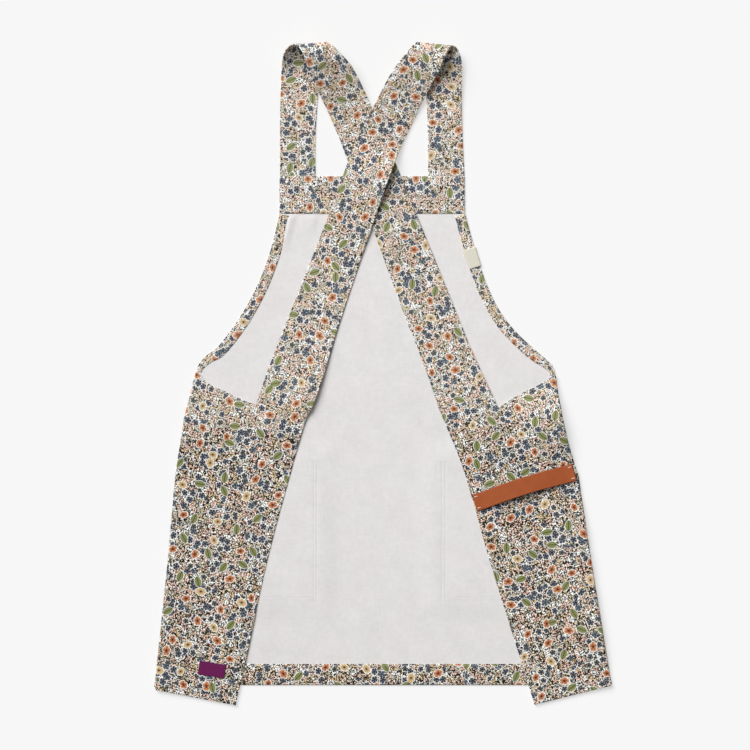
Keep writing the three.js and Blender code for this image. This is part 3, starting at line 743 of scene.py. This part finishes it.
def front_height(x, y):
    """The front's middle: the surface it lies on, the pockets beneath, slow waves, two ripples below the
    chest band, a leaning bell and a slow rise with a quick fall, and dips along pocket seams."""
    middle = RIPPLE_X - (BIB_FOOT_Y - y) * RIPPLE_LEAN
    leaning = LEANING_RIPPLE * bell(x, middle, RIPPLE_WIDTH) * smooth(*LEANING_FROM, y)
    across = UPRIGHT_RIPPLE * smooth(*UPRIGHT_RISE, x) * smooth(*UPRIGHT_FALL, x)
    ripple = (leaning + across * smooth(*UPRIGHT_FROM, y)) * smooth(*RIPPLES_END, y)
    return PANEL_Z + POCKET_RISE * over_pocket(x, y) + lie(stacked(x, y)) + ripple - pocket_dip(x, y)


def pocket_dip(x, y):
    """How far the pockets' stitches pull the cloth down: a narrow bell across each row."""
    along = smooth(POCKET_FOOT - 12, POCKET_FOOT - 4, y) * smooth(POCKET_TOP + 4, POCKET_TOP - 2, y)
    return POCKET_DIP * along * sum(bell(x, place, 1.0) for pair in POCKET_SEAMS.values() for place in pair)


def front_cloth():
    """The front: columns from its left edge to its right, straight between the pockets and close at their
    seams; rows from its hem up its sides, armholes and bib."""
    seams = np.array(list(POCKET_SEAMS.values())).reshape(-1, 1)
    close = (seams + np.array([-2.4, -1.2, 0, 1.2, 2.4])).ravel()
    low, high = FRONT_STRAIGHT
    even = np.linspace(low, high, 40)
    even = even[np.abs(even[:, None] - close).min(1) > 0.8]
    middle = np.sort(np.concatenate([close, even]))
    body, arm, band = rimmed(92, 0, 1, 0.0015)[:-1], np.linspace(1, 2, 54)[:-1], rimmed(12, 2, 3, 0.012)[2:]
    vs = np.concatenate([body, arm, band])
    outer = np.concatenate([[0, 0.003, 0.008], np.linspace(0.03, 1, 30)[:-1]])
    left, right = front_edge("left", vs), front_edge("right", vs)
    x = np.concatenate([
        left[:, :1] + (low - left[:, :1]) * outer,
        np.broadcast_to(middle, (len(vs), len(middle))),
        right[:, :1] + (high - right[:, :1]) * outer[::-1],
    ], axis=1)
    share = (x - left[:, :1]) / (right[:, :1] - left[:, :1])
    y = left[:, 1:] + (right[:, 1:] - left[:, 1:]) * share
    rim = least(x - left[:, :1], right[:, :1] - x, y - HEM_Y, BIB_TOP_Y - y)
    patch = cloth_patch(stacked(x, y, front_height(x, y)), x, y, rim, CLOTH * edge_round(rim))
    return thick_sheet("front_cloth", [patch], [PALE, PRINT], "pale_cloth", ["front_panel"])


def strip(name, us, vs, at, rim, node):
    """A flat printed strip on the front, over the cloth's waves and pressed down at its edges; at gives its
    plan and grain."""
    u, v = grid(us, vs)
    plan, grain_u, grain_v = at(u, v)
    inset = rim(u, v)
    pressed = FACING_PRESS * (1 - smooth(0, FACING_PRESS_REACH, inset))
    points = at_height(plan, FACING_Z + lie(plan) - pressed)
    pinch = 1 - FACING_PINCH * bell(inset, FACING_STITCH, PINCH_WIDTH)
    patch = cloth_patch(points, grain_u, grain_v, inset, CLOTH * edge_round(inset) * pinch)
    return thick_sheet(name, [patch], [PRINT, PALE], "print_cloth", [node])


def chest_facing():
    """The band inside the bib, a rectangle."""
    left, right = BIB_TOP["left"] + EDGE_INSET, BIB_TOP["right"] - EDGE_INSET
    foot, top = BIB_TOP_Y - CHEST_FACING_DEPTH, BIB_TOP_Y - EDGE_INSET
    at = lambda u, v: (stacked(u, v), u, v)
    rim = lambda u, v: least(u - left, right - u, v - foot, top - v)
    us, vs = rimmed(54, left, right, 0.8), rimmed(14, foot, top, 0.8, foot + SEAM_LINES, top - SEAM_LINES)
    return strip("chest_facing_cloth", us, vs, at, rim, "chest_facing")


def facing_width(share):
    """An armhole facing's width: even, then narrowing to its end."""
    return ARMHOLE_FACING + (FACING_TIP - ARMHOLE_FACING) * smooth(FACING_NARROWS, 1, share)


def facing_place(side, across, share):
    """A place on an armhole's facing in plan: across 0, its outer edge, follows the armhole and turns the
    underarm's corner; across 1 lies its width inwards at right angles."""
    path = np.vstack([armhole(side, np.linspace(0, FACING_TURN, 14), EDGE_INSET), FACING_CORNERS[side]])
    slope = spline(path, np.minimum(share + 1e-3, 1)) - spline(path, np.maximum(share - 1e-3, 0))
    return spline(path, share) + inward_way(side, slope) * (across * facing_width(share))[..., None]


def armhole_facing(side):
    """A facing inside an armhole: u runs inwards from its edge and v along it."""
    along = np.linspace(0, 1, 300)
    length = arc(facing_place(side, 0 * along, along))
    across = lambda u, v: u * facing_width(v) * INWARDS[side]
    at = lambda u, v: (facing_place(side, u, v), across(u, v), -np.interp(v, along, length))
    us = rimmed(7, 0, ARMHOLE_FACING, 0.8, SEAM_LINES, ARMHOLE_FACING - SEAM_LINES) / ARMHOLE_FACING
    rim = lambda u, v: np.minimum(u, 1 - u) * facing_width(v)
    us = us if side == "left" else us[::-1]
    vs = np.linspace(1, 0, 110)
    return strip(f"armhole_facing_cloth_{side}", us, vs, at, rim, f"armhole_facing_{side}")


def front_hem():
    """The turn-up along the lower edge, between the side folds."""
    foot, top = HEM_Y + EDGE_INSET, HEM_Y + HEM_DEPTH

    def at(u, v):
        left, right = side_edge("left", v), side_edge("right", v)
        x = left + (right - left) * u
        return stacked(x, v), x, -v

    rim = lambda u, v: np.minimum(v - foot, top - v)
    vs = rimmed(9, foot, top, 0.8, top - SEAM_LINES)
    return strip("front_hem_cloth", np.linspace(0, 1, 130), vs, at, rim, "front_hem")


def pocket(side):
    """A patch pocket under the front, its printed face down."""
    u, y = grid(rimmed(36, 0, 1, 0.004), rimmed(36, POCKET_FOOT, POCKET_TOP, 0.8))
    edge = side_edge(side, y)
    x = edge + (POCKET_INNER[side] - edge) * u
    rim = least(np.abs(POCKET_INNER[side] - x), y - POCKET_FOOT, POCKET_TOP - y)
    patch = cloth_patch(stacked(x, y, PANEL_Z), x, y, rim, CLOTH * edge_round(rim))
    name, node, flip = f"pocket_cloth_{side}", f"pocket_{side}", side == "right"
    return thick_sheet(name, [patch], [PALE, PRINT], "print_cloth", [node], flip)


# The back: each wing and its strap are cut in one

def wing_edges(side):
    """A wing's four edges as functions of a share: inner, outer, upper and lower."""
    made = WINGS[side]
    top, foot = made["top"], made["fold_foot"]
    fold = lambda y: fold_line(side, y) + INWARDS[side] * FOLD_RADIUS

    def outer(v):
        y = top + (foot - top) * v
        return stacked(fold(y), y)

    inner = lambda v: spline(made["inner"], v)
    arm = [*made["upper"], (fold(top), top)]
    corner, pit = np.array(made["inner"][0], float), np.array(arm[0], float)

    def upper(u):
        sewn = mix(corner, pit, np.clip(u / STRAP_SHARE, 0, 1))
        free = spline(arm, np.clip((u - STRAP_SHARE) / (1 - STRAP_SHARE), 0, 1))
        return np.where(u[..., None] <= STRAP_SHARE, sewn, free)

    lower = lambda u: mix(np.array(made["inner"][-1], float), outer(np.array(1.0)), u)
    return inner, outer, upper, lower


def fold_radius(side, y):
    """Half a side fold's height: more near the wing's top and below the towel loop."""
    near_top, lower = FOLD_SWELL[side]
    below = smooth(*SWELL_COMES, y) * smooth(*SWELL_GOES, y)
    return FOLD_RADIUS + near_top * bell(y, SWELL_Y, SWELL_REACH) + lower * below


def wing_surface(side, u, v):
    """A wing's middle: in plan a blend of its four edges; flat, rising to the side fold, standing up at its
    inner corner, and for u from 1 to 2 round the fold, half a boxy ellipse."""
    inner, outer, upper, lower = wing_edges(side)
    flat = np.minimum(u, 1)
    zero, one = np.array(0.0), np.array(1.0)
    rows = mix(upper(flat), lower(flat), v)
    columns = mix(inner(v), outer(v), flat)
    corners = mix(mix(upper(zero), upper(one), flat), mix(lower(zero), lower(one), flat), v)
    plan = rows + columns - corners
    radius = fold_radius(side, plan[..., 1])
    puff = (PANEL_Z + 2 * radius - WING_Z) * smooth(FOLD_PUFF_FROM, 1, flat)
    lift = WINGS[side]["inner_lift"] * (1 - smooth(0, STRAP_SHARE, flat)) * bell(v, 0, LIFT_REACH)
    waves = lie(plan) * (1 - smooth(WAVES_UNTIL, 1, flat))
    turn = np.clip(u - 1, 0, 1) * math.pi
    x = plan[..., 0] - INWARDS[side] * FOLD_RADIUS * np.sin(turn) ** FOLD_BOXY
    y = plan[..., 1] + FOLD_CORNER * smooth(*CORNER_ACROSS, u) * smooth(*CORNER_DOWN, v)
    z = np.where(u <= 1, WING_Z + puff + lift + waves, PANEL_Z + radius * (1 + np.cos(turn)))
    return stacked(x, y, z)


def strap_lines(strap):
    """A strap's two edges as functions of a share from the bib, 0, to the wing, 1."""
    rows = np.array(STRAPS[strap], float)
    return lambda v: spline(rows[:, :3], v), lambda v: spline(rows[:, 3:], v)


def strap_columns(width):
    """Shares across a strap: close by both edges, even between, for each row's width."""
    near = NEAR_EDGE / width[:, None]
    first, last = near[:, -1:], 1 - near[:, -1:]
    between = first + (last - first) * np.linspace(0, 1, 14)[1:-1]
    return np.concatenate([near, between, 1 - near[:, ::-1]], axis=1)


def strap_surface(side, share, v):
    """A strap's middle: straight across from the edge next to the wing's inner edge, on the cloth's waves
    over the apron, with a bell-shaped lip at the left roll's mouth."""
    left, right = strap_lines(WINGS[side]["strap"])
    start, end = (right, left) if side == "left" else (left, right)
    points = mix(start(v), end(v), share)
    points[..., 2] += lie(points) * smooth(*ON_CLOTH, points[..., 1])
    if side == "right":
        points[..., 2] += LIP_HEIGHT * bell(v, LIP_PLACE, LIP_LENGTH) * smooth(LIP_SHARE, 0, share)
    return points


def back_grid(side):
    """A wing and its strap as two grids of points, with their shares. The strap's last row is the wing's
    first, so the two weld."""
    start, end = strap_lines(WINGS[side]["strap"])
    spans = len(STRAPS[WINGS[side]["strap"]]) - 1
    vs = np.unique(np.concatenate([np.linspace(0, 1, 11 * spans + 1), [0.0004, 0.0012]]))
    width = np.linalg.norm(start(vs) - end(vs), axis=1)[:, None]
    share = strap_columns(width[:, 0])
    v = np.broadcast_to(vs[:, None], share.shape)
    strap = strap_surface(side, share, v)

    sewn = STRAP_SHARE * share[-1]
    free, round_fold = np.linspace(STRAP_SHARE + 0.05, 1, 28), np.linspace(1, 2, 15)[1:]
    us = np.concatenate([sewn, STRAP_SHARE + np.array([0.012, 0.03]), free, round_fold])
    ws = np.concatenate([
        [0, 0.0009, 0.0026, 0.0045, 0.0066, 0.0086, 0.0106, 0.0135], np.linspace(0.02, 0.97, 100),
        1 - np.array([0.024, 0.0222, 0.0205, 0.0188, 0.015, 0.01, 0.005, 0.0026, 0.0009, 0]),
    ])
    u, w = grid(us, ws)
    wing = wing_surface(side, u, w)
    strap = strap + smooth(MEETS_FROM, 1, v)[..., None] * (wing[0, : len(sewn)] - strap[-1])
    wing_width = np.linalg.norm(wing[:, :1] - wing[:, -len(round_fold) - 1 : -len(round_fold)], axis=-1)
    return strap, share, v, width, wing, u, w, wing_width


def strap_grain(side, points, across, up):
    """Places on a strap's cloth: across and along its middle line, turning into the wing's grain."""
    centre = points.mean(1)
    length = arc(centre)
    near_wing = smooth(length[-1] - GRAIN_TURN, length[-1], length)
    along = unit(mix(-unit(np.gradient(centre, axis=0)), np.append(up, 0), near_wing))
    aside = (points[:, -1] - points[:, 0]) * -INWARDS[side]
    aside = unit(aside - along * (aside * along).sum(1, keepdims=True))
    aside = mix(aside, np.append(across, 0), near_wing)
    offset = points - centre[:, None]
    u = centre[-1, :2] @ across + (offset * aside[:, None]).sum(-1)
    v = (centre[-1, :2] @ up + length[-1] - length)[:, None] + (offset * along[:, None]).sum(-1)
    return u, v


def back_piece(side):
    """A wing with its strap, one sheet, thinner along its seams and thicker where its edges are turned in.
    The wing's grain runs along its inner edge."""
    made = WINGS[side]
    strap, share, v, width, wing, u, w, wing_width = back_grid(side)
    top, foot = np.array(made["inner"])[[1, 4]]
    up = unit(top - foot)
    across = np.array([up[1], -up[0]])
    past = np.clip(u - 1, 0, 1) * math.pi * FOLD_RADIUS * -INWARDS[side]
    height, far = made["top"] - made["fold_foot"], 1e3
    in_from_top = np.where(u > STRAP_SHARE, w * height, far)
    wing_rim = least(np.minimum(u, 1) * wing_width, (1 - w) * height, in_from_top)
    strap_rim = np.minimum(share, 1 - share) * width

    one_ply = smooth(ONE_PLY_FROM, 1, v)
    plies = STRAP_CLOTH * (1 - one_ply) + CLOTH * one_ply

    def pressed(thick, rim, pinch):
        thick = thick + TURNED_IN * bell(rim, TURNED_IN_PLACE, TURNED_IN_WIDTH)
        return (thick - pinch * bell(rim, EDGE_STITCH, PINCH_WIDTH)) * edge_round(rim, CRISP_EDGE)

    plan = wing[..., :2]
    strap_thick, wing_thick = pressed(plies, strap_rim, STRAP_PINCH), pressed(CLOTH, wing_rim, WING_PINCH)
    strap_patch = cloth_patch(strap, *strap_grain(side, strap, across, up), strap_rim, strap_thick)
    wing_patch = cloth_patch(wing, plan @ across + past, plan @ up, wing_rim, wing_thick, finish=2)
    finishes, nodes = [PRINT, PRINT, PRINT, PALE], [f"wing_{side}", f"strap_{made['strap']}"]
    patches, flip = [strap_patch, wing_patch], side == "right"
    return thick_sheet(f"back_{side}_cloth", patches, finishes, "print_cloth", nodes, flip)


# The towel loop, the label and the tab

def loop_place(u, v):
    """The loop's middle: straight in plan with a small bow, flat at both ends, and arched between as half a
    sine wave."""
    run = LOOP_OUTER - LOOP_INNER
    across = np.array([-run[1], run[0]]) / LOOP_LENGTH
    swell = np.sin(math.pi * np.clip((u - LOOP_SEAT) / (1 - 2 * LOOP_SEAT), 0, 1))
    plan = LOOP_INNER + run * u[..., None] + across * (v + LOOP_SIDE_BOW * swell)[..., None]
    above = CLOTH / 2 + PLY_GAP + LEATHER / 2
    rise = FOLD_TOP_Z + LOOP_OUTER_RISE - WING_Z
    return at_height(plan, WING_Z + above + rise * u + LOOP_ARCH * swell)


def towel_loop():
    """The leather strip, its cut edges a little rounded."""
    edge = np.array([0, 0.15, 0.4, 0.8, 1.4])
    half = LOOP_WIDTH / 2
    vs = np.concatenate([edge - half, np.linspace(-half + 2.4, half - 2.4, 14), half - edge[::-1]])
    between = np.linspace(2.6, LOOP_LENGTH - 2.6, 74)
    us = np.concatenate([edge, between, LOOP_LENGTH - edge[::-1]]) / LOOP_LENGTH
    u, v = grid(us, vs)
    rim = least(half - np.abs(v), np.minimum(u, 1 - u) * LOOP_LENGTH)
    thickness = LEATHER * (0.45 + 0.55 * np.sqrt(smooth(0, 0.9, rim)))
    patch = cloth_patch(loop_place(u, v), u * LOOP_LENGTH, v, rim, thickness)
    return thick_sheet("towel_loop_leather", [patch], [TAN, TAN], "leather", ["towel_loop"])


def label_place(x, y):
    """A place on the label: turned with the wing's grain, on the cloth's waves."""
    cosine, sine = math.cos(LABEL_TURN), math.sin(LABEL_TURN)
    plan = LABEL_PLACE + stacked(x, y) @ np.array([[cosine, sine], [-sine, cosine]])
    return at_height(plan, LABEL_Z + lie(plan))


def wing_label():
    """A woven label that dips along the stitches round its edges."""
    half_x, half_y = LABEL_WIDTH / 2, LABEL_HEIGHT / 2
    x, y = grid(rimmed(24, -half_x, half_x, 0.5), rimmed(14, -half_y, half_y, 0.5))
    rim = np.minimum(half_x - np.abs(x), half_y - np.abs(y))
    points = label_place(x, y)
    points[..., 2] -= LABEL_PINCH * bell(rim, LABEL_STITCH, LABEL_PINCH_WIDTH)
    patch = cloth_patch(points, x, y, rim, LABEL_CLOTH * edge_round(rim))
    return thick_sheet("wing_label_ribbon", [patch], [RIBBON, RIBBON], "label", ["wing_label"])


def edge_tab():
    """A twill tab on the right armhole: flat on the facing, then round the edge and down."""
    inward = np.array([17.3, 16.8, 16.0, 12, 8, 4, 1.5, 0.2, -0.6, -1.1, -1.3, -1.4])
    drop = np.array([0, 0, 0, 0, 0, 0, 0, 0, -0.25, -0.8, -1.6, -2.4])
    across = -np.concatenate([[0], np.cumsum(np.hypot(np.diff(inward), np.diff(drop)))])
    shares = np.linspace(*TAB_SPAN, 26)
    _, v = grid(inward, shares)
    slant = TAB_SLANT - 2 * TAB_SLANT * (v - TAB_SPAN[0]) / (TAB_SPAN[1] - TAB_SPAN[0])
    plan = armhole("right", v, inward + slant * np.clip(inward / inward[0], 0, 1))
    length = arc(armhole("right", shares))
    along = np.broadcast_to(length[:, None], v.shape)
    rim = least(along, length[-1] - along, -across)
    points = at_height(plan, WING_Z + lie(plan) + drop)
    patch = cloth_patch(points, np.broadcast_to(across, v.shape), along, rim, TAB_CLOTH * edge_round(rim))
    return thick_sheet("edge_tab_twill", [patch], [TWILL, TWILL], "tab", ["edge_tab"], flip=True)


# Seams

SQUARE = [(-1, -1), (1, -1), (1, 1), (-1, 1)]


def flat_row(plan, height):
    """A row of stitches on cloth that lies flat."""
    return stitch_row(at_height(plan, height + lie(plan)))


def surface_row(surface, first, second, offset):
    """A row of stitches on a curved surface, off it along its normal, or back if offset is below 0."""
    step = 1e-4
    line = surface(first, second)
    normal = np.cross(surface(first + step, second) - line, surface(first, second + step) - line)
    normal = unit(normal) * np.sign(offset)
    return stitch_row(line + normal * abs(offset), normal)


def facing_seams():
    """Stitches along the chest band's and armhole facings' long edges, and along the hem."""
    height = FACING_Z + CLOTH / 2
    rows = []
    for y in (BIB_TOP_Y - CHEST_FACING_DEPTH + FACING_STITCH, BIB_TOP_Y - EDGE_INSET - FACING_STITCH):
        xs = np.linspace(BIB_TOP["left"] + 3, BIB_TOP["right"] - 3, 60)
        rows.append(flat_row(stacked(xs, y), height))
    for side in ("left", "right"):
        along = np.linspace(0.005, 0.99, 200)
        near = FACING_STITCH / facing_width(along)
        for across in (near, 1 - near):
            rows.append(flat_row(facing_place(side, across, along), height))
    y = HEM_Y + HEM_DEPTH - FACING_STITCH
    xs = np.linspace(side_edge("left", y) + 1, side_edge("right", y) - 1, 140)
    rows.append(flat_row(stacked(xs, y), height))
    return stitches("facing_stitches", rows, ECRU_THREAD)


def back_seams(side):
    """Stitches along a strap's edges, on both faces, and along the wing's inner, upper and lower edges."""
    start, end = strap_lines(WINGS[side]["strap"])
    vs = np.linspace(0.002, 0.999, 420)
    near = EDGE_STITCH / np.linalg.norm(start(vs) - end(vs), axis=1)
    strap = lambda share, v: strap_surface(side, share, v)
    half = STRAP_CLOTH / 2 - STRAP_SINK
    rows = [surface_row(strap, share, vs, face) for share in (near, 1 - near) for face in (half, -half)]

    wing = lambda u, v: wing_surface(side, u, v)
    offset = INWARDS[side] * (CLOTH / 2 - WING_SINK)
    height = WINGS[side]["top"] - WINGS[side]["fold_foot"]
    ws = np.linspace(0.004, 0.99, 300)
    edge = np.linalg.norm(wing(0 * ws, ws) - wing(0 * ws + 1, ws), axis=1)
    rows.append(surface_row(wing, EDGE_STITCH / edge, ws, offset))
    for first, place in ((STRAP_SHARE + 0.005, EDGE_STITCH / height), (0.01, 1 - HEM_STITCH / height)):
        rows.append(surface_row(wing, np.linspace(first, 0.995, 120), np.full(120, place), offset))
    return stitches(f"back_{side}_stitches", rows, ECRU_THREAD)


def pocket_seams():
    """The pockets' stitches on the pale inside: two upright rows at each inner edge, a small box at the top
    and rows along the foot."""
    lines = []
    for side, seams in POCKET_SEAMS.items():
        first, last = POCKET_BOX[side]
        foot = POCKET_TOP - POCKET_BOX_DEPTH
        start = seams[0 if side == "left" else 1]
        reach = side_edge(side, POCKET_FOOT) + INWARDS[side] * 8
        lines += [((x, POCKET_FOOT - 2), (x, POCKET_TOP)) for x in seams]
        lines += [((first, y), (last, y)) for y in (POCKET_TOP, foot)]
        lines += [((first, POCKET_TOP), (first, foot))]
        lines += [((start, y), (reach, y)) for y in (POCKET_FOOT + 4.5, POCKET_FOOT)]
    rows = []
    for a, b in lines:
        plan = mix(np.array(a, float), np.array(b, float), np.linspace(0, 1, 120))
        height = front_height(plan[:, 0], plan[:, 1]) + CLOTH / 2 - FRONT_SINK
        rows.append(stitch_row(at_height(plan, height)))
    return stitches("pocket_stitches", rows, PALE_THREAD, radius=0.24)


def loop_seams():
    """Two stout white stitches at each end of the leather."""
    near, half = LOOP_STITCH_IN / LOOP_LENGTH, LOOP_STITCH_PITCH / 2 / LOOP_LENGTH
    up = LOOP_WIDTH / 2 - LOOP_STITCH_UP
    rows = []
    for u in (near, 1 - near):
        for v in (-up, up):
            line = loop_place(np.linspace(u - half, u + half, 5), np.full(5, v))
            line[:, 2] += LEATHER / 2 + LOOP_THREAD
            rows.append(stitch_row(line, pitch=LOOP_STITCH_PITCH))
    return stitches("loop_stitches", rows, WHITE_THREAD, length=6.0, radius=0.55)


def small_seams():
    """Stitches round the label and along the tab's inner edge."""
    half = np.array([LABEL_WIDTH, LABEL_HEIGHT]) / 2 - LABEL_STITCH
    corners = np.array([*SQUARE, SQUARE[0]]) * half
    rows = []
    for a, b in zip(corners[:-1], corners[1:]):
        plan = mix(a, b, np.linspace(0, 1, 20))
        line = label_place(plan[:, 0], plan[:, 1])
        line[:, 2] += LABEL_THREAD
        rows.append(stitch_row(line, pitch=LABEL_PITCH))
    purple = thread("purple_thread", 96, 20, 92)
    stitches("label_stitches", rows, purple, length=1.8, radius=0.2)
    line = armhole("right", np.linspace(TAB_SPAN[0] + 0.004, TAB_SPAN[1] - 0.004, 20), TAB_STITCH)
    stitches("tab_stitches", [flat_row(line, WING_Z + TAB_THREAD)], WHITE_THREAD, length=1.9, radius=0.2)


front = front_cloth()
facings = [chest_facing(), armhole_facing("left"), armhole_facing("right"), front_hem()]
pockets = [pocket("left"), pocket("right")]
backs = [back_piece("left"), back_piece("right")]
towel_loop()
label, tab = wing_label(), edge_tab()
facing_seams()
pocket_seams()
back_seams("left")
back_seams("right")
loop_seams()
small_seams()


# The stage: a pale floor, soft light from the upper left and a camera straight above

VIEW_CENTRE, VIEW_WIDTH = (-11.7, -2.2), 1095.0
CAMERA_LENS, SENSOR = 250.0, 36.0
SUN_TILT, SUN_TURN, SUN_SPREAD = math.radians(50), math.radians(-143), math.radians(44)
SUN_ENERGY, SKY_STRENGTH, FLOOR_GLOW = 3.75, 0.235, 0.55
# In metres: half the floor's width, and how far it lies under the cloth
FLOOR_REACH, FLOOR_DROP = 6.0, 0.0003


def stage():
    """A wide floor, one broad soft sun, an even sky and a camera with a long lens."""
    mesh = bpy.data.meshes.new("floor")
    corners = [(x * FLOOR_REACH, y * FLOOR_REACH, -FLOOR_DROP) for x, y in SQUARE]
    mesh.from_pydata(corners, [], [(0, 1, 2, 3)])
    paper = Paint("pale_paper", 0.95, specular=0.0)
    dimmed = tuple(part * (1 - FLOOR_GLOW) for part in FLOOR_WHITE[:3]) + (1.0,)
    paper.fix({"Base Color": dimmed, "Emission Color": FLOOR_WHITE, "Emission Strength": FLOOR_GLOW})
    mesh.materials.append(paper.material)
    linked("floor", mesh)

    sun = bpy.data.lights.new("window_light", "SUN")
    sun.energy = SUN_ENERGY
    sun.angle = SUN_SPREAD
    linked("window_light", sun).rotation_euler = (SUN_TILT, 0, SUN_TURN)

    sky = bpy.data.worlds.new("even_sky")
    sky.use_nodes = True
    light = sky.node_tree.nodes["Background"]
    light.inputs[0].default_value = (1, 1, 1, 1)
    light.inputs[1].default_value = SKY_STRENGTH
    bpy.context.scene.world = sky

    lens = bpy.data.cameras.new("camera")
    lens.lens = CAMERA_LENS
    lens.sensor_width = SENSOR
    camera = linked("camera", lens)
    camera.location = (VIEW_CENTRE[0] * MM, VIEW_CENTRE[1] * MM, VIEW_WIDTH * MM * CAMERA_LENS / SENSOR)
    bpy.context.scene.camera = camera
    bpy.context.scene.view_settings.view_transform = "Standard"


stage()
